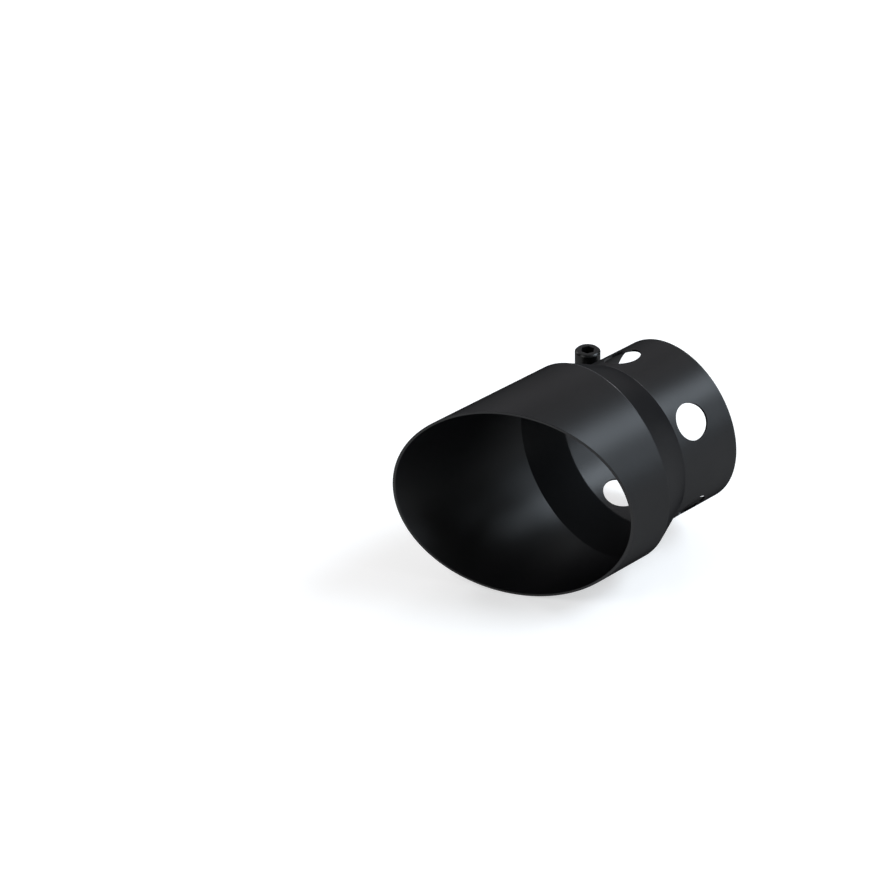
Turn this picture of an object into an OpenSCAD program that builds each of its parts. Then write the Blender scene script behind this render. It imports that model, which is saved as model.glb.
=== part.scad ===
// Slant-cut exhaust tip with a slotted clamp collar.
// The tube is one formed sheet: a round body, a short cone and a smaller collar that slides over a tailpipe.
// Two lugs welded beside the collar's slot are drawn together by a socket head cap screw.
// Origin: centre of the collar's open end. The tube's axis is Y, with the slanted mouth towards -Y.
// +Z is up. The slot, the lugs and the screw are on the -X side, and the screw's head points up.

/* [Body] */
// Outer diameter of the body
body_d = 101.6; // [95:0.1:125]
// Length of the body along its axis, from the middle of the mouth to the cone
body_len = 52.6; // [42:0.1:120]
// Thickness of the sheet
wall = 1.2; // [0.8:0.1:2]
// Angle by which the mouth is turned from a square cut
mouth_angle = 30; // [0:1:35]

/* [Cone] */
// Length of the cone between the body and the collar
cone_len = 19.7; // [12:0.1:35]
// Inside radius of the two bends at the ends of the cone
bend_r = 0.6; // [0.3:0.1:2]

/* [Collar] */
// Outer diameter of the collar
collar_d = 83.8; // [68:0.1:92]
// Length of the collar
collar_len = 34.9; // [33.5:0.1:60]
// Number of round holes around the collar, the first one on the slot
hole_count = 5; // [3:1:6]
// Diameter of each hole
hole_d = 18.1; // [12:0.1:23]
// Distance from the collar's open end to the middle of the holes
hole_inset = 22.8; // [21:0.1:24]
// Width of the slot from the first hole to the open end
slot_w = 4; // [2:0.1:5]

/* [Lugs] */
// Thickness of each lug along the screw
lug_t = 9.7; // [6:0.1:12]
// Gap between each lug and the first hole, and between each lug and the collar's open end
lug_margin = 0.3; // [0.1:0.1:1]
// Chamfer round the outer face of each lug
lug_chamfer = 0.8; // [0.3:0.1:1.2]
// Leg of the fillet weld at the foot of each lug
weld_leg = 2; // [1:0.1:2.5]

/* [Screw] */
// Diameter of the screw's shank and thread
screw_d = 8; // [5:0.1:9]
// Length of the screw under its head
screw_len = 25; // [22:0.1:40]
// Diameter of the screw's head
head_d = 12.7; // [10:0.1:13.5]
// Height of the screw's head
head_h = 8; // [6.5:0.1:9.5]
// Width across the flats of the hexagonal socket
socket_w = 6; // [4:0.1:7]
// Depth of the straight part of the hexagonal socket
socket_depth = 4; // [2:0.1:4.5]
// Chamfer round the top of the head
head_chamfer = 0.8; // [0.3:0.1:1.2]
// Chamfer at the screw's end
point_chamfer = 0.9; // [0.3:0.1:1.2]
// Distance from the outside of the collar to the screw's axis
screw_out = 10.8; // [9:0.1:14]
// Angle by which the screw is turned on its axis
screw_turn = 10; // [0:1:59]
// Gap all round the screw in the plain hole of the upper lug
screw_clearance = 0.4; // [0.1:0.1:0.6]
// Gap all round the screw in the threaded hole of the lower lug
thread_clearance = 0.1; // [0.05:0.01:0.2]

/* [Hidden] */
$fn = 96;

body_r = body_d / 2;
collar_r = collar_d / 2;
screw_r = screw_d / 2;
// Places along the tube's axis, measured from the collar's open end and negative towards the mouth.
cone_back = -collar_len;
cone_front = cone_back - cone_len;
mouth_y = cone_front - body_len;
// The longest side of the mouth lies this far in front of its middle, and the shortest this far behind.
mouth_reach = body_r * tan(mouth_angle);
cone_slope = atan((body_r - collar_r) / cone_len);
// The lugs fill the strip of collar between the first hole and the open end, but for their margins.
strip = hole_inset - hole_d / 2;
lug_w = strip - 2 * lug_margin;
lug_front = strip - lug_margin;
lug_top = slot_w / 2 + lug_t;
// The screw stands upright, on the middle of the lugs.
screw_x = -collar_r - screw_out;
screw_y = -strip / 2;
// The lug's outer face meets the collar at this angle from the slot, and its weld ends at a wider one.
lug_side = asin(lug_top / collar_r);
weld_side = lug_side + asin(weld_leg / collar_r);
// The weld before the lug's front face starts where it no longer hangs over the first hole.
weld_start = asin(sqrt(max(pow(hole_d / 2, 2) - pow(hole_inset - lug_front - weld_leg, 2), 0)) / collar_r);
// The weld's slope runs on this far under the collar's outside.
weld_root = wall / 2;
// The drill point at the bottom of the socket slopes at this angle.
drill_slope = 31;
// Cutting tools run past the faces that they cut by this much.
over = 5;
// Straight steps in each bend, and around the tube.
bend_steps = 6;
tube_steps = 180;

function unit(v) = v / norm(v);
function backwards(list) = [for (i = [len(list) - 1:-1:0]) list[i]];
function around(a) = a > 180 ? a - 360 : a < -180 ? a + 360 : a;

// Points of the arc that rounds corner p, between its neighbours a and b, with radius r.
function rounded(a, p, b, r) =
    let (
        u = unit(a - p),
        v = unit(b - p),
        half = acos(u * v) / 2,
        middle = p + unit(u + v) * r / sin(half),
        first = p + u * r / tan(half) - middle,
        last = p + v * r / tan(half) - middle,
        start = atan2(first.y, first.x),
        sweep = around(atan2(last.y, last.x) - start)
    )
    [
        for (i = [0:bend_steps])
            let (a = start + sweep * i / bend_steps)
            middle + r * [cos(a), sin(a)]
    ];

// Line along the sheet as radius and place on the axis, at a depth under its outside.
function sheet_line(depth, front_r, back_r) =
    let (
        shift = depth * tan(cone_slope / 2),
        p0 = [body_r - depth, mouth_y - mouth_reach - over],
        p1 = [body_r - depth, cone_front - shift],
        p2 = [collar_r - depth, cone_back - shift],
        p3 = [collar_r - depth, 0]
    )
    concat([p0], rounded(p0, p1, p2, front_r), rounded(p1, p2, p3, back_r), [p3]);

// Turns a shape that stands on Z so that its top points along +Y.
module along_y() {
    rotate([-90, 0, 0]) children();
}

// Turns a shape that stands on Z so that it points out from the tube, at an angle from the slot up to +Z.
module out_at(angle) {
    rotate([0, angle - 90, 0]) children();
}

// The whole sheet before it is cut: body, cone and collar. Its seam lies in line with the slot.
module formed_tube() {
    outside = sheet_line(0, bend_r + wall, bend_r);
    inside = sheet_line(wall, bend_r, bend_r + wall);
    along_y() rotate([0, 0, 180]) rotate_extrude($fn = tube_steps) polygon(concat(outside, backwards(inside)));
}

// Everything in front of the slanted mouth.
module mouth_cut() {
    half = body_d + over;
    depth = 2 * mouth_reach + 2 * over;
    translate([0, mouth_y, 0]) rotate([0, 0, mouth_angle])
        translate([-half, -depth, -half]) cube([2 * half, depth, 2 * half]);
}

module collar_holes() {
    for (i = [0:hole_count - 1])
        translate([0, -hole_inset, 0]) out_at(i * 360 / hole_count) cylinder(d = hole_d, h = collar_r + over);
}

module collar_slot() {
    translate([-collar_r - over, -hole_inset, -slot_w / 2]) cube([collar_r + over, hole_inset + over, slot_w]);
}

module tip_shell() {
    color([0.16, 0.16, 0.165]) difference() {
        formed_tube();
        mouth_cut();
        collar_holes();
        collar_slot();
    }
}

// Straight tongue with a round end about the screw, from the slot's side up to the chamfered outer face.
module lug_block() {
    translate([screw_x, screw_y, slot_w / 2]) linear_extrude(lug_t - lug_chamfer) {
        circle(d = lug_w);
        translate([0, -lug_w / 2]) square([-screw_x, lug_w]);
    }
    translate([screw_x, screw_y, lug_top - lug_chamfer]) {
        cylinder(d1 = lug_w, d2 = lug_w - 2 * lug_chamfer, h = lug_chamfer);
        rotate([90, 0, 90]) linear_extrude(-screw_x) polygon([
            [-lug_w / 2, 0],
            [lug_w / 2, 0],
            [lug_w / 2 - lug_chamfer, lug_chamfer],
            [lug_chamfer - lug_w / 2, lug_chamfer]
        ]);
    }
}

// Fillet welds over the lug's outer face and before its front face, where the second runs on past the corner.
// Their slopes run on under the collar's outside, where the collar cuts them off.
module lug_welds() {
    corner = collar_r * [-cos(lug_side), sin(lug_side)];
    toe = collar_r * [-cos(weld_side), sin(weld_side)];
    top = corner - [weld_leg, 0];
    root = toe + (toe - top) * weld_root / weld_leg;
    translate([0, -lug_margin, 0]) rotate([90, 0, 0]) linear_extrude(lug_w)
        polygon([top, root, corner + [weld_leg, 0]]);
    translate([0, -lug_front, 0]) along_y() rotate([0, 0, 180 + weld_start])
        rotate_extrude(angle = weld_side - weld_start, $fn = tube_steps) polygon([
            [collar_r - weld_root, 0],
            [collar_r + weld_leg, 0],
            [collar_r - weld_root, -weld_leg - weld_root]
        ]);
}

module lug(hole_r) {
    difference() {
        union() {
            lug_block();
            lug_welds();
        }
        along_y() translate([0, 0, -collar_len]) cylinder(r = collar_r, h = collar_len + over, $fn = tube_steps);
        translate([screw_x, screw_y, 0]) cylinder(r = hole_r, h = lug_top + over);
    }
}

module upper_lug() {
    color([0.15, 0.15, 0.155]) lug(screw_r + screw_clearance);
}

module lower_lug() {
    color([0.15, 0.15, 0.155]) mirror([0, 0, 1]) lug(screw_r + thread_clearance);
}

// Hexagonal socket with the shallow cone that the drill leaves at its bottom.
module hex_socket() {
    point_h = socket_w / 2 * tan(drill_slope);
    translate([0, 0, head_h - socket_depth]) cylinder(d = socket_w / cos(30), h = socket_depth + over, $fn = 6);
    translate([0, 0, head_h - socket_depth - point_h]) cylinder(d1 = 0, d2 = socket_w, h = point_h);
}

// Socket head cap screw, head up, with the underside of its head on the upper lug.
module clamp_screw() {
    color([0.1, 0.1, 0.1]) translate([screw_x, screw_y, lug_top]) rotate([0, 0, screw_turn]) difference() {
        union() {
            cylinder(d = head_d, h = head_h - head_chamfer);
            translate([0, 0, head_h - head_chamfer])
                cylinder(d1 = head_d, d2 = head_d - 2 * head_chamfer, h = head_chamfer);
            translate([0, 0, point_chamfer - screw_len]) cylinder(d = screw_d, h = screw_len - point_chamfer);
            translate([0, 0, -screw_len])
                cylinder(d1 = screw_d - 2 * point_chamfer, d2 = screw_d, h = point_chamfer);
        }
        hex_socket();
    }
}

tip_shell();
upper_lug();
lower_lug();
clamp_screw();
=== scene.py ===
# %% [markdown]
# # A slant-cut exhaust tip
# This lesson builds the looks of an exhaust tip around its measured model. The tip is a short steel tube.
# It has a wide body with a slanted mouth, a cone, and a narrow collar that clamps on a car's tailpipe.
# The measured model comes in first as a fixed frame, and every piece made here takes its place from it.

# %% Load the frame
import math

import bmesh
import bpy
from mathutils import Matrix, Vector


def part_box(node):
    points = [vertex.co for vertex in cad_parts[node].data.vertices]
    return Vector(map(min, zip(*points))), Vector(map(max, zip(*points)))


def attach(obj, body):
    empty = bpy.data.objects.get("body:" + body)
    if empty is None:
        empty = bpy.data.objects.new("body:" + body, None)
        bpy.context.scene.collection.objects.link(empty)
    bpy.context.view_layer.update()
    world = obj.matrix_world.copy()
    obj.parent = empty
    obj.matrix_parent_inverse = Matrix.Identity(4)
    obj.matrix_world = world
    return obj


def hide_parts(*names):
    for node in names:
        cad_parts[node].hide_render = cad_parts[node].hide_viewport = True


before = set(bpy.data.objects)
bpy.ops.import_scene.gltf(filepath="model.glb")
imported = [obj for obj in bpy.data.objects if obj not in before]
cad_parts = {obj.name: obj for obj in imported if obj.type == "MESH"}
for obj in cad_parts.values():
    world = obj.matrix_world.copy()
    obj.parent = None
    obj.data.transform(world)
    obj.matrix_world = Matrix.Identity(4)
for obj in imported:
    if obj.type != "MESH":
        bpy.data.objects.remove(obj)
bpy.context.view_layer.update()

print("CAD nodes:", sorted(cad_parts))

# %% [markdown]
# ## Sizes
# A size could be typed wherever it is needed, but then a change would be made in ten places. Here each one is
# written once. Blender works in metres and a maker thinks in millimetres, so it is written in millimetres
# times MM. The sizes are those of the measured model, and the prints compare some with the frame's own boxes.
# The tube's axis is Y, the collar's open end is at Y = 0, and the slanted mouth looks towards -Y.

# %% Sizes of the tube
MM = 0.001
BODY_R = 50.8 * MM
BODY_LEN = 52.6 * MM
CONE_LEN = 19.7 * MM
COLLAR_R = 41.9 * MM
COLLAR_LEN = 34.9 * MM
WALL = 1.2 * MM
BEND_R = 0.6 * MM
MOUTH_ANGLE = math.radians(30)
CONE_BACK = -COLLAR_LEN
CONE_FRONT = CONE_BACK - CONE_LEN
MOUTH_Y = CONE_FRONT - BODY_LEN
shell_low, shell_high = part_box("tip_shell")
print("front of the tube, model and here:", shell_low.y, MOUTH_Y - BODY_R * math.tan(MOUTH_ANGLE))
print("body radius, model and here:", shell_high.x, BODY_R)

# %% Sizes of the holes and the lugs
HOLE_COUNT = 5
HOLE_R = 9.05 * MM
HOLE_INSET = 22.8 * MM
SLOT_HALF = 2 * MM
STRIP = HOLE_INSET - HOLE_R
LUG_T = 9.7 * MM
LUG_MARGIN = 0.3 * MM
LUG_CHAMFER = 0.8 * MM
LUG_HALF = STRIP / 2 - LUG_MARGIN
LUG_TOP = SLOT_HALF + LUG_T
lug_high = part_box("upper_lug")[1]
print("top of the upper lug's block:", LUG_TOP, "and top of its weld in the model:", lug_high.z)

# %% Sizes of the screw
SCREW_R = 4 * MM
SCREW_LEN = 25 * MM
SCREW_OUT = 10.8 * MM
SCREW_X = -COLLAR_R - SCREW_OUT
SCREW_Y = -STRIP / 2
SCREW_TURN = math.radians(10)
HEAD_R = 6.35 * MM
HEAD_H = 8 * MM
HEAD_CHAMFER = 0.8 * MM
screw_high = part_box("clamp_screw")[1]
print("top of the screw, model and here:", screw_high.z, LUG_TOP + HEAD_H)

# %% [markdown]
# ## Meshes from rings
# The lugs, the weld beads and the screw can each be cut into slices like a turned part. A slice is a ring of
# points, and all rings of a piece have the same number. One short function skins such a stack with quads and
# closes or joins its ends. Boolean cuts could make the same shapes, but they leave slivers to clean up, and
# these even quads take a narrow bevel well.

# %% Skin a stack of rings
def new_piece(name, mesh):
    piece = bpy.data.objects.new(name, mesh)
    bpy.context.scene.collection.objects.link(piece)
    return piece


def skin(name, rings, joined_ends=False):
    """A mesh over rings of equally many points, with its ends closed by flat faces or joined."""
    shape = bmesh.new()
    rows = [[shape.verts.new(point) for point in ring] for ring in rings]
    pairs = list(zip(rows, rows[1:])) + ([(rows[-1], rows[0])] if joined_ends else [])
    for low, high in pairs:
        for k in range(len(low)):
            shape.faces.new((low[k - 1], low[k], high[k], high[k - 1]))
    if not joined_ends:
        shape.faces.new(rows[0])
        shape.faces.new(rows[-1])
    bmesh.ops.recalc_face_normals(shape, faces=shape.faces)
    mesh = bpy.data.meshes.new(name)
    shape.to_mesh(mesh)
    shape.free()
    return new_piece(name, mesh)


# %% Round the edges and measure the volume
SHARP_FROM = math.radians(35)


def soften(piece, width, steps=3):
    """Rounds the sharp edges, as tumbling and paint do, and keeps the flat faces flat in the light."""
    piece.data.shade_smooth()
    bevel = piece.modifiers.new("edge rounding", "BEVEL")
    bevel.width = width
    bevel.segments = steps
    bevel.limit_method = "ANGLE"
    bevel.angle_limit = SHARP_FROM
    bevel.use_clamp_overlap = True
    weighted = piece.modifiers.new("even shading", "WEIGHTED_NORMAL")
    weighted.keep_sharp = True
    return piece


def show_volume(piece):
    """Prints the volume that the mesh holds. It is negative where the faces point inwards."""
    shape = bmesh.new()
    shape.from_mesh(piece.data)
    print(piece.name, "holds", round(shape.calc_volume(signed=True) / MM**3, 1), "mm3")
    shape.free()


# %% [markdown]
# ## Node helpers
# Geometry Nodes and materials are both trees of nodes. They can be drawn by hand in the editor, but a script
# keeps them readable and repeatable. `add` makes a node and fills its inputs, with a plain value or with
# another node's output. `calc` is the Math node, and `mapped` is the Map Range node.

# %% Helpers that build nodes
def add(tree, kind, inputs=None, **settings):
    made = tree.nodes.new(kind)
    for name, value in settings.items():
        setattr(made, name, value)
    for key, value in (inputs or {}).items():
        if isinstance(value, bpy.types.NodeSocket):
            tree.links.new(value, made.inputs[key])
        else:
            made.inputs[key].default_value = value
    return made


def calc(tree, operation, a, b=0.0):
    return add(tree, "ShaderNodeMath", {0: a, 1: b}, operation=operation).outputs[0]


def mapped(tree, value, start, end, low, high):
    """Turns the range from start to end into low to high, and holds the value at both ends."""
    return add(tree, "ShaderNodeMapRange", {0: value, 1: start, 2: end, 3: low, 4: high}).outputs[0]


def stored(tree, name):
    """Reads a number that the mesh carries at each point."""
    reader = add(tree, "GeometryNodeInputNamedAttribute", {"Name": name}, data_type="FLOAT")
    return reader.outputs["Attribute"]


# %% Helpers that begin and end a Geometry Nodes tree
def shape_tree(name, sizes, materials=("Material",)):
    """An empty Geometry Nodes tree with a geometry input, and a named input for each material and size."""
    tree = bpy.data.node_groups.new(name, "GeometryNodeTree")
    tree.interface.new_socket(name="Geometry", in_out="INPUT", socket_type="NodeSocketGeometry")
    for material in materials:
        tree.interface.new_socket(name=material, in_out="INPUT", socket_type="NodeSocketMaterial")
    for size in sizes:
        tree.interface.new_socket(name=size, in_out="INPUT", socket_type="NodeSocketFloat")
    tree.interface.new_socket(name="Geometry", in_out="OUTPUT", socket_type="NodeSocketGeometry")
    return tree, tree.nodes.new("NodeGroupInput").outputs


def end_tree(tree, given, geometry, others=None):
    """Ends a tree in Realize Instances and Set Material. Others gives the faces of each further material."""
    smooth = add(tree, "GeometryNodeSetShadeSmooth", {0: geometry})
    real = add(tree, "GeometryNodeRealizeInstances", {0: smooth.outputs[0]})
    painted = add(tree, "GeometryNodeSetMaterial", {0: real.outputs[0], "Material": given["Material"]})
    for name, faces in (others or {}).items():
        picked = {0: painted.outputs[0], "Selection": faces, "Material": given[name]}
        painted = add(tree, "GeometryNodeSetMaterial", picked)
    tree.links.new(painted.outputs[0], tree.nodes.new("NodeGroupOutput").inputs[0])
    print("the tree named", tree.name, "has", len(tree.nodes), "nodes")


def grow(piece, tree, inputs):
    """Runs a tree on a piece and keeps the result as the piece's own plain mesh."""
    modifier = piece.modifiers.new(tree.name, "NODES")
    modifier.node_group = tree
    for socket in tree.interface.items_tree:
        if socket.in_out == "INPUT" and socket.name in inputs:
            modifier[socket.identifier] = inputs[socket.name]
    evaluated = piece.evaluated_get(bpy.context.evaluated_depsgraph_get())
    mesh = bpy.data.meshes.new_from_object(evaluated)
    piece.modifiers.remove(modifier)
    piece.data = mesh
    print(piece.name, "has", len(mesh.vertices), "points and", len(mesh.polygons), "faces")


# %% [markdown]
# ## Surface patterns
# The tip and its lugs have one black heat-proof coat. Sprayed coats dry with a faint orange peel, which is
# a bump a few thousandths of a millimetre deep and under a millimetre wide, and finer grain from the pigment.
# A picture of paint could show them, but it would blur when the camera comes close. Every finish here needs
# both at its own scale, so they are one node group of noises with its own inputs.
# The group gives a height for a Bump node, and a mask of wide clouds that moves gloss and tone a little.

# %% Node group for a sprayed coat
PEEL_SHARE = 0.8
PEEL_DETAIL = 1.0
GRAIN_DETAIL = 0.0
CLOUD_DETAIL = 3.0


def coat_group():
    tree = bpy.data.node_groups.new("sprayed coat", "ShaderNodeTree")
    for name in ("Peel Width", "Grain Width", "Cloud Width"):
        tree.interface.new_socket(name=name, in_out="INPUT", socket_type="NodeSocketFloat")
    for name in ("Height", "Clouds"):
        tree.interface.new_socket(name=name, in_out="OUTPUT", socket_type="NodeSocketFloat")
    given = tree.nodes.new("NodeGroupInput").outputs
    place = add(tree, "ShaderNodeTexCoord").outputs["Object"]

    def noise(width, detail):
        scale = calc(tree, "DIVIDE", 1.0, width)
        inputs = {"Vector": place, "Scale": scale, "Detail": detail}
        return add(tree, "ShaderNodeTexNoise", inputs).outputs["Fac"]

    peel = calc(tree, "MULTIPLY", noise(given["Peel Width"], PEEL_DETAIL), PEEL_SHARE)
    grain = calc(tree, "MULTIPLY", noise(given["Grain Width"], GRAIN_DETAIL), 1 - PEEL_SHARE)
    end = tree.nodes.new("NodeGroupOutput")
    tree.links.new(calc(tree, "ADD", peel, grain), end.inputs["Height"])
    tree.links.new(noise(given["Cloud Width"], CLOUD_DETAIL), end.inputs["Clouds"])
    return tree


coat = coat_group()
print("sockets of the coat's group:", [socket.name for socket in coat.interface.items_tree])

# %% [markdown]
# ## Materials
# A black coat on steel is a dark colour under a dull gloss. The gloss could be the base layer's own. Here it
# is the shader's coat layer, whose weight can fade. Varnish gets brighter at flat angles, and a satin coat
# doesn't, because its grains shade each other. So Layer Weight takes the coat layer away where the surface
# turns from the eye, which also keeps the outline dark against the pale floor. Its roughness spreads the
# lamp's mirror image into the wide soft band that runs along the tube. The colour under it has no gloss of
# its own, and the bump only shades that colour. The clouds keep any wide area from being perfectly even.

# %% Build a coated material
FADE_START = 0.25
FADE_END = 0.85
LEAST_GLOSS = 0.1
CLOUD_WIDTH = 30 * MM
CLOUD_LOW = 0.3
CLOUD_HIGH = 0.7
GLOSS_SPREAD = 0.05
ROUGH_SPREAD = 0.1
TONE_SPREAD = 0.08


def coated(name, color, gloss, rough, peel, grain, height):
    """A colour under a coat layer of a gloss and roughness, with the widths and the height of its bump."""
    material = bpy.data.materials.new(name)
    material.use_nodes = True
    tree = material.node_tree
    shader = tree.nodes["Principled BSDF"]
    shader.inputs["Specular IOR Level"].default_value = 0.0
    shader.inputs["Coat Roughness"].default_value = rough
    sizes = {"Peel Width": peel, "Grain Width": grain, "Cloud Width": CLOUD_WIDTH}
    pattern = add(tree, "ShaderNodeGroup", sizes, node_tree=coat).outputs
    clouds = pattern["Clouds"]
    facing = add(tree, "ShaderNodeLayerWeight").outputs["Facing"]
    fade = mapped(tree, facing, FADE_START, FADE_END, 1.0, LEAST_GLOSS)
    dullest, glossiest = gloss * (1 - GLOSS_SPREAD), gloss * (1 + GLOSS_SPREAD)
    uneven = mapped(tree, clouds, CLOUD_LOW, CLOUD_HIGH, dullest, glossiest)
    tree.links.new(calc(tree, "MULTIPLY", fade, uneven), shader.inputs["Coat Weight"])
    rougher = mapped(tree, clouds, CLOUD_LOW, CLOUD_HIGH, rough, rough + ROUGH_SPREAD)
    tree.links.new(rougher, shader.inputs["Roughness"])
    tone = add(tree, "ShaderNodeMix", {"Factor": clouds}, data_type="RGBA")
    tone.inputs["A"].default_value = (*[c * (1 - TONE_SPREAD) for c in color], 1)
    tone.inputs["B"].default_value = (*[c * (1 + TONE_SPREAD) for c in color], 1)
    tree.links.new(tone.outputs["Result"], shader.inputs["Base Color"])
    bump = add(tree, "ShaderNodeBump", {"Height": pattern["Height"], "Distance": height})
    tree.links.new(bump.outputs[0], shader.inputs["Normal"])
    print(name, "has gloss", gloss, "and roughness", rough)
    return material


# %% [markdown]
# ## The finishes
# One coat covers the tube and the lugs, yet it looks different in places. Inside the tube it is glossier, and
# on the lugs a little rougher. On the cut edges it has flowed out smooth, which draws a tighter highlight.
# The upper crests of the bends are glossier, and their lighter colour is a painted highlight: the pale line
# that a lamp draws there. The screw has no coat. It is blackened in a hot salt bath, and the turned chamfer
# round its head stays a little brighter. Each finish could be a material drawn by hand. As one call with its
# own numbers, it can be compared with the others at a glance.

# %% Finishes of the tip
SATIN = (0.0068, 0.0067, 0.0074)
# Painted highlight: a lighter colour on the upper crests of the bends stands for the pale line a lamp draws
# there.
BEND_HIGHLIGHT_TONE = (0.05, 0.05, 0.052)
OXIDE = (0.006, 0.006, 0.006)
TURNED = (0.008, 0.008, 0.008)
coated_steel = coated(
    "satin black coat", SATIN, gloss=0.45, rough=0.4,
    peel=0.9 * MM, grain=0.25 * MM, height=0.004 * MM)
coated_inside = coated(
    "satin black coat inside", SATIN, gloss=0.55, rough=0.4,
    peel=0.9 * MM, grain=0.25 * MM, height=0.004 * MM)
cut_edge = coated(
    "coated cut edge", SATIN, gloss=0.6, rough=0.25,
    peel=0.9 * MM, grain=0.2 * MM, height=0.004 * MM)
# The bends' crests: more gloss, and the lighter colour above as a painted highlight.
bend_highlight = coated(
    "painted highlight on bend crests", BEND_HIGHLIGHT_TONE, gloss=0.6, rough=0.25,
    peel=0.9 * MM, grain=0.2 * MM, height=0.004 * MM)
coated_lug = coated(
    "satin black coat on lugs", SATIN, gloss=0.46, rough=0.42,
    peel=0.7 * MM, grain=0.2 * MM, height=0.006 * MM)
turned_edge = coated(
    "turned edge of the screw", TURNED, gloss=0.42, rough=0.27,
    peel=0.5 * MM, grain=0.12 * MM, height=0.003 * MM)
black_oxide = coated(
    "black oxide", OXIDE, gloss=0.4, rough=0.3,
    peel=0.5 * MM, grain=0.12 * MM, height=0.003 * MM)

# %% [markdown]
# ## The section of the sheet
# On the real tip one sheet is rolled, welded along a seam and formed. Its section, from the open end to the
# mouth, is the collar, a bend, the cone, another bend and the body. It could be one line with Solidify for
# the wall, but Solidify pushes each point straight in, and then the slanted mouth isn't one flat cut. So each
# face of the sheet gets its own line. A bend has a small radius on its hollow side, and the same radius plus
# the wall on its full side.

# %% One face of the sheet as radius and place
BEND_STEPS = 6


def arc(before, corner, after, radius):
    """Points of the arc that rounds a corner of a line."""
    u = (before - corner).normalized()
    v = (after - corner).normalized()
    half = u.angle(v) / 2
    middle = corner + (u + v).normalized() * (radius / math.sin(half))
    first = corner + u * (radius / math.tan(half)) - middle
    last = corner + v * (radius / math.tan(half)) - middle
    turn = first.angle_signed(last)
    return [middle + Matrix.Rotation(-turn * k / BEND_STEPS, 2) @ first for k in range(BEND_STEPS + 1)]


def sheet_face(depth, front_r, back_r):
    """The two bends of one face, each as a list of (radius, place), from the collar towards the mouth."""
    slope = math.atan((BODY_R - COLLAR_R) / CONE_LEN)
    shift = depth * math.tan(slope / 2)
    end = Vector((COLLAR_R - depth, 0))
    back = Vector((COLLAR_R - depth, CONE_BACK - shift))
    front = Vector((BODY_R - depth, CONE_FRONT - shift))
    mouth = Vector((BODY_R - depth, MOUTH_Y))
    return arc(end, back, front, back_r), arc(back, front, mouth, front_r)


outside = sheet_face(0, BEND_R + WALL, BEND_R)
inside = sheet_face(WALL, BEND_R, BEND_R + WALL)
collar_bend = outside[0][0].y
print("the collar is straight for", round(-collar_bend / MM, 2), "mm outside")

# %% [markdown]
# ## Quads round a hole
# On the real tip five holes are drilled through the round collar. A boolean cut would leave slivers round
# them, so the quads are laid out round them instead. Each fifth of the collar is a square of cells whose
# middle is left out. Square rings of cells run round it, and they change step by step from the hole's circle
# on the inside to the square's sides on the outside. On the slot's fifth the column beside it is straight.

# %% Lay out one point near a hole
SECTOR = 32
HALF = SECTOR // 2
RING = HALF // 2
RING_CROWDING = 1.2
SLOT_COLUMN = 2
SECTOR_HALF_ANGLE = math.pi / HOLE_COUNT
CORNER = math.pi / 4


def collar_point(i, j, front, slotted):
    """Angle, place and nearness to a drilled edge, of point i, j of a fifth that starts at front."""
    ring = max(abs(i), abs(j))
    u = i / ring
    v = j / ring
    if abs(v) == 1:
        around = CORNER * u if v > 0 else math.pi - CORNER * u
    else:
        around = 2 * CORNER - CORNER * v if u > 0 else CORNER * v - 2 * CORNER
    across = math.asin(HOLE_R * math.sin(around) / COLLAR_R)
    along = HOLE_R * math.cos(around)
    long = v * HOLE_INSET if v > 0 else v * (-HOLE_INSET - front)
    outer = ((ring - RING) / (HALF - RING)) ** RING_CROWDING
    angle = across * (1 - outer) + SECTOR_HALF_ANGLE * u * outer
    place = along * (1 - outer) + long * outer - HOLE_INSET
    drilled = 1 - outer
    if slotted and j == ring and abs(i) == SLOT_COLUMN:
        angle = math.copysign(math.asin(SLOT_HALF / COLLAR_R), i)
        place = (math.sqrt(HOLE_R**2 - SLOT_HALF**2) - HOLE_INSET) * (1 - outer)
        drilled = 1.0
    return angle, place, drilled


print("angle, place and nearness at a hole's front:", collar_point(0, -RING, collar_bend, False))

# %% [markdown]
# ## The flat blank
# The blank is a grid of quads around the tube and along it. Every point carries numbers that say where it
# goes: how far it is turned from the slot, its radius and place on each face of the sheet, how much of the
# mouth's slant it takes, how near a drilled edge it is, and whether it is on a crest that gets the painted
# highlight. Only the upper side of the bends gets it, because that is where a lamp draws the pale line.

# %% Numbers of the collar's points
COLUMNS = HOLE_COUNT * SECTOR


def collar_points():
    points = {}
    for k in range(HOLE_COUNT):
        middle = math.tau * k / HOLE_COUNT
        for i in range(-HALF, HALF + 1):
            for j in range(-HALF, HALF + 1):
                if max(abs(i), abs(j)) < RING or (k == 0 and j > 0 and abs(i) < SLOT_COLUMN):
                    continue
                angle, place, drilled = collar_point(i, j, collar_bend, k == 0)
                inner_place = collar_point(i, j, inside[0][0].y, k == 0)[1]
                points[(k * SECTOR + i) % COLUMNS, j] = {
                    "turn": middle + angle, "drill_turn": middle, "drilled": drilled,
                    "mouth": 0.0, "bend": 0.0,
                    "outer_radius": COLLAR_R, "outer_place": place,
                    "inner_radius": COLLAR_R - WALL, "inner_place": inner_place,
                }
    return points


on_collar = collar_points()
print("points on the collar:", len(on_collar))

# %% Numbers of the points in front of the collar
FRONT_CREST = (1, 2, 3, 4)
# The painted highlight on the bends covers only these turns, the upper side where a lamp draws the pale line.
HIGHLIGHT_FROM = math.radians(72)
HIGHLIGHT_TO = math.radians(128)
CONE_STOPS = (0.12, 0.4, 0.7, 0.92)
BODY_STOPS = (0.03, 0.08, 0.18, 0.3, 0.42, 0.54, 0.66, 0.78, 0.88, 0.95, 0.985, 1)


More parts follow.
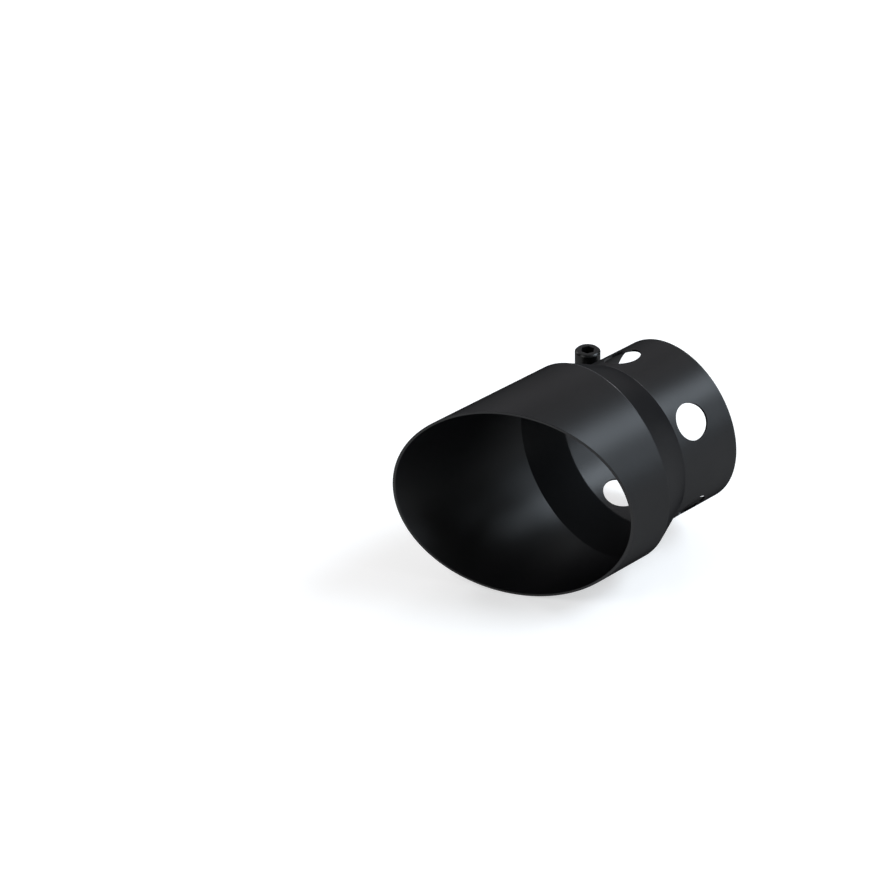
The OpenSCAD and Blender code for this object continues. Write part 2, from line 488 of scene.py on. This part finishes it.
def rows_in_front(face):
    """Rows from the collar's bend to the mouth, as (radius, place, share of the slant, on a crest)."""
    back, front = face
    rows = [(p.x, p.y, 0.0, 1.0) for p in back[1:]]
    rows += [(*back[-1].lerp(front[0], stop), 0.0, 0.0) for stop in CONE_STOPS]
    rows += [(p.x, p.y, 0.0, float(k in FRONT_CREST)) for k, p in enumerate(front)]
    last = front[-1]
    rows += [(last.x, last.y + (MOUTH_Y - last.y) * stop, stop, 0.0) for stop in BODY_STOPS]
    return rows


def front_points():
    points = {}
    for row, (outer, inner) in enumerate(zip(rows_in_front(outside), rows_in_front(inside)), 1):
        for column in range(COLUMNS):
            turn = math.tau * column / COLUMNS
            points[column, -HALF - row] = {
                "turn": turn, "drill_turn": turn, "drilled": 0.0,
                "mouth": outer[2], "bend": outer[3] * (HIGHLIGHT_FROM < turn < HIGHLIGHT_TO),
                "outer_radius": outer[0], "outer_place": outer[1],
                "inner_radius": inner[0], "inner_place": inner[1],
            }
    return points


in_front = front_points()
print("points in front of the collar:", len(in_front))


# %% Make the blank
def make_blank(points):
    number = {key: n for n, key in enumerate(points)}
    faces = []
    for column, row in points:
        beside = (column + 1) % COLUMNS
        corners = [(column, row), (beside, row), (beside, row + 1), (column, row + 1)]
        if all(corner in points for corner in corners):
            faces.append([number[corner] for corner in corners])
    mesh = bpy.data.meshes.new("blank")
    mesh.from_pydata([(p["turn"] * COLLAR_R, p["outer_place"], 0) for p in points.values()], [], faces)
    for name in next(iter(points.values())):
        carried = mesh.attributes.new(name, "FLOAT", "POINT")
        carried.data.foreach_set("value", [p[name] for p in points.values()])
    return new_piece("formed_tube", mesh)


tube = make_blank({**on_collar, **in_front})
print("the blank has", len(tube.data.polygons), "quads")

# %% [markdown]
# ## Rolling the blank
# A Geometry Nodes tree does to the blank what the rolls and the press do to the sheet. A Curve or a Simple
# Deform modifier could roll it too, but neither knows the cone or the slanted mouth. The tree puts each point
# at its radius and turn, and shears the front rows so that the mouth ends in one slanted plane. Then it
# extrudes the whole face, moves the copy to the inner face, turns it over and merges the two along their
# edges. Holes are drilled straight, so on the smaller inner face their edges stand at a slightly wider angle.

# %% Node steps that place a point on the tube
def on_tube(tree, face, turn, slope):
    """Place of a point on the outer or inner face, from the numbers that it carries."""
    radius = stored(tree, face + "_radius")
    x = calc(tree, "MULTIPLY", calc(tree, "MULTIPLY", radius, -1.0), calc(tree, "COSINE", turn))
    z = calc(tree, "MULTIPLY", radius, calc(tree, "SINE", turn))
    slant = calc(tree, "MULTIPLY", calc(tree, "MULTIPLY", stored(tree, "mouth"), slope), x)
    y = calc(tree, "ADD", stored(tree, face + "_place"), slant)
    return add(tree, "ShaderNodeCombineXYZ", {0: x, 1: y, 2: z}).outputs[0]


def drilled_turn(tree, turn, given):
    """Turn of a point on the inner face, where a straight drilled edge stands at a wider angle."""
    middle = stored(tree, "drill_turn")
    across = calc(tree, "SINE", calc(tree, "SUBTRACT", turn, middle))
    inner_radius = calc(tree, "SUBTRACT", given["Collar Radius"], given["Wall"])
    ratio = calc(tree, "DIVIDE", given["Collar Radius"], inner_radius)
    wider = calc(tree, "ADD", middle, calc(tree, "ARCSINE", calc(tree, "MULTIPLY", across, ratio)))
    return add(tree, "ShaderNodeMix", {0: stored(tree, "drilled"), 2: turn, 3: wider}).outputs[0]


# %% Geometry Nodes tree that rolls the sheet
FULL_CREST = 0.99


def rolling_tree():
    sizes = ("Mouth Angle", "Collar Radius", "Wall", "Merge Distance")
    materials = ("Material", "Inner Material", "Cut Material", "Bend Highlight Material")
    tree, given = shape_tree("roll the sheet", sizes, materials)
    slope = calc(tree, "TANGENT", given["Mouth Angle"])
    turn = stored(tree, "turn")
    outer = on_tube(tree, "outer", turn, slope)
    inner = on_tube(tree, "inner", drilled_turn(tree, turn, given), slope)
    rolled = add(tree, "GeometryNodeSetPosition", {0: given["Geometry"], "Position": outer}).outputs[0]
    pulled = add(tree, "GeometryNodeExtrudeMesh", {0: rolled, "Offset Scale": 0.0, "Individual": False})
    copied = pulled.outputs["Top"]
    placed = {0: pulled.outputs[0], "Selection": copied, "Position": inner}
    moved = add(tree, "GeometryNodeSetPosition", placed)
    turned = add(tree, "GeometryNodeFlipFaces", {0: moved.outputs[0]})
    both = tree.nodes.new("GeometryNodeJoinGeometry")
    tree.links.new(turned.outputs[0], both.inputs[0])
    tree.links.new(rolled, both.inputs[0])
    doubles = {0: both.outputs[0], "Distance": given["Merge Distance"]}
    merged = add(tree, "GeometryNodeMergeByDistance", doubles)
    crest = calc(tree, "SUBTRACT", stored(tree, "bend"), copied)
    end_tree(tree, given, merged.outputs[0], {
        "Inner Material": copied,
        "Cut Material": pulled.outputs["Side"],
        "Bend Highlight Material": calc(tree, "GREATER_THAN", crest, FULL_CREST),
    })
    return tree


rolling = rolling_tree()

# %% Roll the sheet
MERGE_WITHIN = 0.001 * MM
TUBE_ROUNDING = 0.12 * MM

grow(tube, rolling, {
    "Mouth Angle": MOUTH_ANGLE, "Collar Radius": COLLAR_R, "Wall": WALL, "Merge Distance": MERGE_WITHIN,
    "Material": coated_steel, "Inner Material": coated_inside,
    "Cut Material": cut_edge, "Bend Highlight Material": bend_highlight,
})
show_volume(tube)
soften(tube, TUBE_ROUNDING)

# %% [markdown]
# ## The lugs
# Two steel blocks beside the slot take the screw. Each is a tongue with a round end about the screw. It is
# chamfered on its outer face, and its root follows the collar. A boolean could cut the root, but the same
# stack of rings gives it exactly: each outline ends on the collar at its own height. The stack runs from the
# slot's side up and is joined to the rings of its bore. The lower lug is the upper one mirrored, with a
# tighter bore for its thread.

# %% Outline of a lug
END_STEPS = 24
SIDE_STEPS = 8


def lug_outline(z, inset):
    """Points around the screw's axis: round end, first side, root on the collar, second side."""
    half = LUG_HALF - inset
    root = -math.sqrt(COLLAR_R**2 - z**2) - SCREW_X
    round_end = [math.pi / 2 + math.pi * k / END_STEPS for k in range(END_STEPS)]
    points = [(half * math.cos(a), half * math.sin(a)) for a in round_end]
    steps = [k / SIDE_STEPS for k in range(SIDE_STEPS)]
    points += [(root * s, -half) for s in steps]
    points += [(root, half * (2 * s - 1)) for s in steps]
    points += [(root * (1 - s), half) for s in steps]
    return points


print("a lug's outline has", len(lug_outline(SLOT_HALF, 0)), "points")

# %% The two lugs
LUG_LEVELS = 4
LUG_ROUNDING = 0.25 * MM
SCREW_CLEARANCE = 0.4 * MM
THREAD_CLEARANCE = 0.1 * MM


def lug_rings(bore_r, flip):
    levels = [SLOT_HALF + (LUG_T - LUG_CHAMFER) * k / LUG_LEVELS for k in range(LUG_LEVELS + 1)]
    outlines = [(z, lug_outline(z, 0)) for z in levels]
    outlines.append((LUG_TOP, lug_outline(LUG_TOP, LUG_CHAMFER)))
    bore = [Vector(point).normalized() * bore_r for point in lug_outline(SLOT_HALF, 0)]
    outlines += [(LUG_TOP, bore), (SLOT_HALF, bore)]
    return [[(SCREW_X + x, SCREW_Y + y, flip * z) for x, y in points] for z, points in outlines]


def make_lug(name, bore_r, flip):
    lug = skin(name, lug_rings(bore_r, flip), joined_ends=True)
    lug.data.materials.append(coated_lug)
    show_volume(lug)
    return soften(lug, LUG_ROUNDING)


upper_lug = make_lug("upper_lug_block", SCREW_R + SCREW_CLEARANCE, 1)
lower_lug = make_lug("lower_lug_block", SCREW_R + THREAD_CLEARANCE, -1)

# %% [markdown]
# ## A weld bead
# A fillet weld fills the corner between lug and collar. A bead could be a curve with a bevel, but its section
# isn't round: it fills a corner and bulges a little. So it is skinned from rings along its path. Each ring
# has a bulging face between the two legs, and three points sunk in the steel behind it. Every point also
# carries how far along and how far across the bead it lies, for the tree that comes next.

# %% A smooth bead along a corner
WELD_LEG = 2 * MM
BEAD_STEP = 0.12 * MM
BEAD_POINTS = 10
BEAD_BULGE = 0.5
ROOT_DEPTH = 0.5 * MM


def bead_ring(at, first, second):
    """Points round a bead at one place of its corner, between the directions of its two legs."""
    ring = []
    for k in range(BEAD_POINTS + 1):
        c = math.pi / 2 * k / BEAD_POINTS
        flat = 1 / (math.cos(c) + math.sin(c))
        reach = WELD_LEG * (flat + (1 - flat) * BEAD_BULGE)
        ring.append(at + (first * math.cos(c) + second * math.sin(c)) * reach)
    ring.append(at + second * WELD_LEG - first * ROOT_DEPTH)
    ring.append(at - (first + second) * ROOT_DEPTH)
    ring.append(at + first * WELD_LEG - second * ROOT_DEPTH)
    return ring


def bead(name, corner, along_collar, along_lug, path):
    """A bead along (length, value) pairs. Its corner and directions are functions of the value."""
    rings = [bead_ring(corner(t), along_collar(t), along_lug(t)) for _, t in path]
    sunk = len(rings[0]) - BEAD_POINTS - 1
    across = [k / BEAD_POINTS for k in range(BEAD_POINTS + 1)] + [0.0] * sunk
    piece = skin(name, rings)
    carried = {"along": [length for length, _ in path for _ in rings[0]], "across": across * len(rings)}
    for key, values in carried.items():
        piece.data.attributes.new(key, "FLOAT", "POINT").data.foreach_set("value", values)
    return piece


def evenly(start, end, radius=1.0):
    """Pairs of length and value, about a bead step apart, from start to end of a path of that radius."""
    span = abs(end - start) * radius
    count = max(2, round(span / BEAD_STEP))
    return [(span * k / count, start + (end - start) * k / count) for k in range(count + 1)]


# %% [markdown]
# ## Scales on the weld
# The torch moves in small steps, and each pool freezes as a curved scale over the one before. The scales
# repeat along a path, which is work for Geometry Nodes: the tree reads how far along and across the bead a
# point lies, and pushes it out along its normal. A noise shifts and lifts the scales, so that they look like
# a hand's work and not like a screw thread.

# %% Geometry Nodes tree that raises the weld's scales
NOISE_MIDDLE = 0.5
PATCH_DETAIL = 1.0


def ripple_tree():
    tree, given = shape_tree("weld scales", ("Pitch", "Height", "Bow", "Lean", "Patch Width"))
    along, across = stored(tree, "along"), stored(tree, "across")
    patch = calc(tree, "DIVIDE", 1.0, given["Patch Width"])
    uneven = add(tree, "ShaderNodeTexNoise", {"Scale": patch, "Detail": PATCH_DETAIL}).outputs[0]
    middle = calc(tree, "SINE", calc(tree, "MULTIPLY", across, math.pi))
    steps = calc(tree, "ADD", calc(tree, "DIVIDE", along, given["Pitch"]), uneven)
    phase = calc(tree, "FRACT", calc(tree, "SUBTRACT", steps, calc(tree, "MULTIPLY", middle, given["Bow"])))
    leaning = calc(tree, "POWER", phase, given["Lean"])
    scale = calc(tree, "SINE", calc(tree, "MULTIPLY", leaning, math.pi))
    lift = calc(tree, "ADD", uneven, 1 - NOISE_MIDDLE)
    rise = calc(tree, "MULTIPLY", calc(tree, "MULTIPLY", scale, middle), lift)
    distance = calc(tree, "MULTIPLY", rise, given["Height"])
    normal = tree.nodes.new("GeometryNodeInputNormal").outputs[0]
    offset = add(tree, "ShaderNodeVectorMath", {0: normal, "Scale": distance}, operation="SCALE").outputs[0]
    moved = add(tree, "GeometryNodeSetPosition", {0: given["Geometry"], "Offset": offset})
    end_tree(tree, given, moved.outputs[0])
    return tree


scales = ripple_tree()
scale_sizes = {"Pitch": 1.4 * MM, "Height": 0.2 * MM, "Bow": 0.5, "Lean": 0.6, "Patch Width": 2.5 * MM}

# %% [markdown]
# ## The four beads
# Each lug has a bead over its outer face, straight along the tube, and one before its front face, bent round
# the collar. The second starts where it no longer hangs over the first hole and runs on past the corner, so
# that the two beads meet. Both angles follow from the sizes and are not chosen by eye.

# %% Welds of both lugs
LUG_SIDE = math.asin(LUG_TOP / COLLAR_R)
WELD_SIDE = LUG_SIDE + math.asin(WELD_LEG / COLLAR_R)
LUG_FRONT = STRIP - LUG_MARGIN
HOLE_GAP = HOLE_INSET - LUG_FRONT - WELD_LEG
WELD_START = math.asin(math.sqrt(max(HOLE_R**2 - HOLE_GAP**2, 0)) / COLLAR_R)


def outward(a, flip):
    """The way out from the tube's axis at an angle from the slot, up or mirrored down."""
    return Vector((-math.cos(a), 0, flip * math.sin(a)))


def weld_pair(name, flip):
    """The bead over a lug's outer face, and the one before its front face."""
    edge = outward(LUG_SIDE, flip) * COLLAR_R
    up = Vector((math.sin(LUG_SIDE), 0, flip * math.cos(LUG_SIDE)))
    front = Vector((0, -LUG_FRONT, 0))
    over_path = evenly(-LUG_MARGIN, -LUG_FRONT)
    front_path = evenly(WELD_START, WELD_SIDE, COLLAR_R)
    pair = [
        bead(name + "_over", lambda y: edge + Vector((0, y, 0)), lambda y: up,
             lambda y: Vector((-1, 0, 0)), over_path),
        bead(name + "_front", lambda a: outward(a, flip) * COLLAR_R + front, lambda a: Vector((0, -1, 0)),
             lambda a: outward(a, flip), front_path),
    ]
    for piece in pair:
        grow(piece, scales, {**scale_sizes, "Material": coated_lug})
        show_volume(piece)
    return pair


welds = weld_pair("upper_weld", 1) + weld_pair("lower_weld", -1)

# %% [markdown]
# ## The screw's head
# It is a socket head cap screw of steel. Its head could be a cylinder with a hexagon cut out, but then the
# small chamfers that catch the light would be hard to control. As a stack of rings each of them is one ring
# more. The rings of the socket are hexagons with as many points as the round ones. The turned chamfer round
# the top gets its own finish, picked by the slope of its faces.

# %% Rings of the head
HEAD_POINTS = 96
SOCKET_HALF = 3 * MM
SOCKET_DEPTH = 4 * MM
DRILL_SLOPE = math.radians(31)
SIXTH = math.pi / 3
TO_SCREW = Matrix.Translation((SCREW_X, SCREW_Y, LUG_TOP)) @ Matrix.Rotation(SCREW_TURN, 4, "Z")


def turned_ring(z, r, hexagon=False):
    """A ring at a height over the head's underside. A hexagon's r is half its width across flats."""
    points = []
    for k in range(HEAD_POINTS):
        a = math.tau * k / HEAD_POINTS
        away = r / math.cos(a % SIXTH - SIXTH / 2) if hexagon else r
        points.append(TO_SCREW @ Vector((away * math.cos(a), away * math.sin(a), z)))
    return points


print("the socket is", round(2 * SOCKET_HALF / MM, 1), "mm wide across its flats")

# %% The head and its socket
NECK_R = SCREW_R * 0.9
FOOT_CHAMFER = 0.3 * MM
SOCKET_LIP = 0.12 * MM
SOCKET_RIM_R = SOCKET_HALF + 0.95 * MM
DRILL_R = SOCKET_HALF * 0.98
DRILL_TIP_R = SOCKET_HALF * 0.1
CHAMFER_SLOPE = (0.6, 0.8)
HEAD_ROUNDING = 0.06 * MM
HEAD_STEPS = 2

bottom = HEAD_H - SOCKET_DEPTH
drill_tip = bottom - (SOCKET_HALF - DRILL_TIP_R) * math.tan(DRILL_SLOPE)
head_rings = [
    turned_ring(0, NECK_R),
    turned_ring(0, HEAD_R - FOOT_CHAMFER),
    turned_ring(FOOT_CHAMFER, HEAD_R),
    turned_ring(HEAD_H - HEAD_CHAMFER, HEAD_R),
    turned_ring(HEAD_H, HEAD_R - HEAD_CHAMFER),
    turned_ring(HEAD_H, SOCKET_RIM_R),
    turned_ring(HEAD_H, SOCKET_HALF + SOCKET_LIP, hexagon=True),
    turned_ring(HEAD_H - SOCKET_LIP, SOCKET_HALF, hexagon=True),
    turned_ring(bottom, SOCKET_HALF, hexagon=True),
    turned_ring(bottom, DRILL_R),
    turned_ring(drill_tip, DRILL_TIP_R),
]
head = skin("screw_head", head_rings)
head.data.materials.append(black_oxide)
head.data.materials.append(turned_edge)
for face in head.data.polygons:
    sloping = CHAMFER_SLOPE[0] < face.normal.z < CHAMFER_SLOPE[1]
    face.material_index = int(sloping and face.center.z > LUG_TOP + HEAD_H - HEAD_CHAMFER)
show_volume(head)
soften(head, HEAD_ROUNDING, HEAD_STEPS)

# %% [markdown]
# ## The thread
# The screw's thread is rolled into its shank. A helix swept by a profile would do, but it has to be joined to
# the core. A thread follows a rule, so Geometry Nodes cut it into one closed skin: each point of a fine tube
# is pushed in by its place on the pitch, less its turn around the axis. Near the end the tree keeps the
# smaller of two radii, the thread's and a cone's, which chamfers the screw's point.

# %% Geometry Nodes tree that cuts the thread
HALF_PITCH = 0.5
ROOT_EDGE = 0.07
CREST_EDGE = 0.42


def thread_tree():
    names = ("Radius", "Pitch", "Depth", "Length", "Point Chamfer")
    tree, given = shape_tree("cut the thread", names)
    place = tree.nodes.new("GeometryNodeInputPosition").outputs[0]
    x, y, z = add(tree, "ShaderNodeSeparateXYZ", {0: place}).outputs
    turn = calc(tree, "ARCTAN2", y, x)
    turned = calc(tree, "DIVIDE", turn, math.tau)
    pitches = calc(tree, "SUBTRACT", calc(tree, "DIVIDE", z, given["Pitch"]), turned)
    ridge = calc(tree, "PINGPONG", pitches, HALF_PITCH)
    cut = mapped(tree, ridge, ROOT_EDGE, CREST_EDGE, 1.0, 0.0)
    groove = calc(tree, "SUBTRACT", given["Radius"], calc(tree, "MULTIPLY", cut, given["Depth"]))
    from_end = calc(tree, "ADD", z, given["Length"])
    cone = calc(tree, "ADD", calc(tree, "SUBTRACT", given["Radius"], given["Point Chamfer"]), from_end)
    radius = calc(tree, "MINIMUM", groove, cone)
    new_x = calc(tree, "MULTIPLY", radius, calc(tree, "COSINE", turn))
    new_y = calc(tree, "MULTIPLY", radius, calc(tree, "SINE", turn))
    cut_place = add(tree, "ShaderNodeCombineXYZ", {0: new_x, 1: new_y, 2: z}).outputs[0]
    moved = add(tree, "GeometryNodeSetPosition", {0: given["Geometry"], "Position": cut_place})
    end_tree(tree, given, moved.outputs[0])
    return tree


thread = thread_tree()

# %% The threaded shank
THREAD_PITCH = 1.25 * MM
THREAD_DEPTH = 0.7 * MM
POINT_CHAMFER = 0.9 * MM
ROWS_PER_PITCH = 14
THREAD_POINTS = 64
IN_HEAD = 0.2 * MM

row_count = round(SCREW_LEN / THREAD_PITCH * ROWS_PER_PITCH)
heights = [IN_HEAD - (SCREW_LEN + IN_HEAD) * k / row_count for k in range(row_count + 1)]
turns = [math.tau * k / THREAD_POINTS for k in range(THREAD_POINTS)]
shank_rings = [[(SCREW_R * math.cos(a), SCREW_R * math.sin(a), z) for a in turns] for z in heights]
shank = skin("screw_thread", shank_rings)
grow(shank, thread, {
    "Radius": SCREW_R, "Pitch": THREAD_PITCH, "Depth": THREAD_DEPTH, "Length": SCREW_LEN,
    "Point Chamfer": POINT_CHAMFER, "Material": black_oxide,
})
shank.data.transform(TO_SCREW)
show_volume(shank)

# %% [markdown]
# ## Floor
# The tip lies on a plain pale floor, as in a studio. A white floor lit to white would throw so much light up
# that the black coat turned grey. So the floor is a light grey that only glows for the camera, for mirror
# images and through glass, and it still takes the tip's shadow.

# %% Pale floor
FLOOR_HALF = 15.0
FLOOR_GAP = 0.02 * MM
FLOOR_TONE = 0.6
FLOOR_GLOW = 0.56
FLOOR_ROUGH = 0.9


def pale_material():
    material = bpy.data.materials.new("pale floor")
    material.use_nodes = True
    tree = material.node_tree
    shader = tree.nodes["Principled BSDF"].inputs
    shader["Base Color"].default_value = (FLOOR_TONE, FLOOR_TONE, FLOOR_TONE, 1)
    shader["Roughness"].default_value = FLOOR_ROUGH
    shader["Specular IOR Level"].default_value = 0.0
    shader["Emission Color"].default_value = (1, 1, 1, 1)
    rays = add(tree, "ShaderNodeLightPath").outputs
    mirrored = calc(tree, "MAXIMUM", rays["Is Glossy Ray"], rays["Is Transmission Ray"])
    seen = calc(tree, "MAXIMUM", rays["Is Camera Ray"], mirrored)
    tree.links.new(calc(tree, "MULTIPLY", seen, FLOOR_GLOW), shader["Emission Strength"])
    return material


floor_z = -BODY_R - FLOOR_GAP
floor_mesh = bpy.data.meshes.new("floor")
corners = [(x * FLOOR_HALF, y * FLOOR_HALF, floor_z) for x, y in ((-1, -1), (1, -1), (1, 1), (-1, 1))]
floor_mesh.from_pydata(corners, [], [(0, 1, 2, 3)])
floor_mesh.materials.append(pale_material())
floor = new_piece("floor", floor_mesh)
print("the floor is", round(-floor_z / MM, 2), "mm under the tube's axis")

# %% [markdown]
# ## Sky
# So dark a thing shows its form only by what it mirrors. An even white sky would lay a grey veil over all of
# it, so this one fades: it is brighter above than near the floor, and brighter behind the collar than before
# the mouth, which keeps the inside of the tube deep black.

# %% Fading sky
SKY_TOP = 0.45
SKY_LOW = 0.08
SKY_TOP_FROM = 0.6
SKY_FRONT = 0.2
SKY_FRONT_TO = -0.2
SKY_BACK_FROM = 0.3

world = bpy.data.worlds.new("soft sky")
bpy.context.scene.world = world
world.use_nodes = True
sky = world.node_tree
direction = add(sky, "ShaderNodeTexCoord").outputs["Generated"]
parts = add(sky, "ShaderNodeSeparateXYZ", {0: direction}).outputs
behind = mapped(sky, parts["Y"], SKY_FRONT_TO, SKY_BACK_FROM, SKY_FRONT, 1.0)
above = mapped(sky, parts["Z"], 0.0, SKY_TOP_FROM, SKY_LOW, SKY_TOP)
background = sky.nodes["Background"].inputs
background["Color"].default_value = (1, 1, 1, 1)
sky.links.new(calc(sky, "MULTIPLY", behind, above), background["Strength"])
print("the sky runs from", round(SKY_FRONT * SKY_LOW, 3), "low in front to", SKY_TOP, "high behind")

# %% [markdown]
# ## Lamps
# The key lamp stands high behind the collar on the right, and its mirror image in the satin coat is the wide
# pale band along the tube. A small lamp would give a hard streak, so it is a soft box of 1.6 m. The other
# lamps show the ends, the edges and the far sides, which the key lamp leaves black. Each looks at the middle
# of the tube, so its direction alone says where its mirror image falls.

# %% Soft lamps
LAMP_DISTANCE = 4.0
SQUARE = (1.6, 1.6)
WHITE = (1.0, 1.0, 1.0)
COOL = (0.8, 0.9, 1.0)
LILAC = (0.97, 0.95, 1.0)
PINK = (1.0, 0.98, 1.0)
LAMPS = {
    "key": {"towards": (0.40, 0.56, 0.725), "size": SQUARE, "watts": 118, "color": COOL},
    "fill": {"towards": (-0.78, 0.5, 0.38), "size": (2.8, 2.4), "watts": 21, "color": LILAC},
    "low side lamp": {"towards": (0.77, 0.546, 0.33), "size": SQUARE, "watts": 40, "color": COOL},
    "edge lamp": {"towards": (-0.33, 0.81, 0.48), "size": (0.7, 1.2), "watts": 18, "color": PINK},
    "front lamp": {"towards": (-0.15, -0.68, 0.72), "size": SQUARE, "watts": 28, "color": WHITE},
    "left lamp": {"towards": (-0.88, -0.1, 0.45), "size": SQUARE, "watts": 42, "color": WHITE},
}


def soft_lamp(name, towards, size, watts, color):
    """A rectangular lamp that looks at the tube's middle from a direction."""
    lamp = bpy.data.lights.new(name, "AREA")
    lamp.shape = "RECTANGLE"
    lamp.size, lamp.size_y = size
    lamp.energy = watts
    lamp.color = color
    holder = bpy.data.objects.new(name, lamp)
    away = Vector(towards).normalized()
    holder.location = Vector((0, MOUTH_Y / 2, 0)) + away * LAMP_DISTANCE
    holder.rotation_euler = away.to_track_quat("Z", "Y").to_euler()
    bpy.context.scene.collection.objects.link(holder)


for name, settings in LAMPS.items():
    soft_lamp(name, **settings)
    print(name, "gives", settings["watts"], "W")

# %% [markdown]
# ## Camera
# The camera looks down on the tip from the front right, from about 1.3 m away, with a long lens, as a
# catalogue shot is taken. A near camera with a wide lens would stretch the mouth. The camera's own axes are
# built from three angles: round the tip, up from the floor, and the small roll that a hand-held shot has.

# %% Camera
CAMERA_PLACE = Vector((788.9, -825.7, 726.7)) * MM
AZIMUTH = math.radians(49.407)
ELEVATION = math.radians(32.867)
ROLL = math.radians(-1.872)
LENS = 113.56
SENSOR_WIDTH = 36

flat_back = Vector((math.sin(AZIMUTH), -math.cos(AZIMUTH), 0))
back = flat_back * math.cos(ELEVATION) + Vector((0, 0, math.sin(ELEVATION)))
sideways = Vector((math.cos(AZIMUTH), math.sin(AZIMUTH), 0))
right = sideways * math.cos(ROLL) + back.cross(sideways) * math.sin(ROLL)
camera_axes = Matrix((right, back.cross(right), back)).transposed().to_4x4()
lens = bpy.data.cameras.new("camera")
lens.lens = LENS
lens.sensor_width = SENSOR_WIDTH
camera = bpy.data.objects.new("camera", lens)
camera.matrix_world = Matrix.Translation(CAMERA_PLACE) @ camera_axes
bpy.context.scene.collection.objects.link(camera)
bpy.context.scene.camera = camera
bpy.context.scene.view_settings.view_transform = "Standard"
print("the camera is", round(CAMERA_PLACE.length, 2), "m from the collar's open end")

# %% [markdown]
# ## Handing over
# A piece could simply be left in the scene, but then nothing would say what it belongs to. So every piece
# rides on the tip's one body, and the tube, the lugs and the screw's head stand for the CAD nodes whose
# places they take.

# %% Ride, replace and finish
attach(tube, "root")
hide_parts("tip_shell")
for lug, node in ((upper_lug, "upper_lug"), (lower_lug, "lower_lug")):
    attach(lug, "root")
    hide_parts(node)
for weld in welds:
    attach(weld, "root")
for piece in (head, shank):
    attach(piece, "root")
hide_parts("clamp_screw")
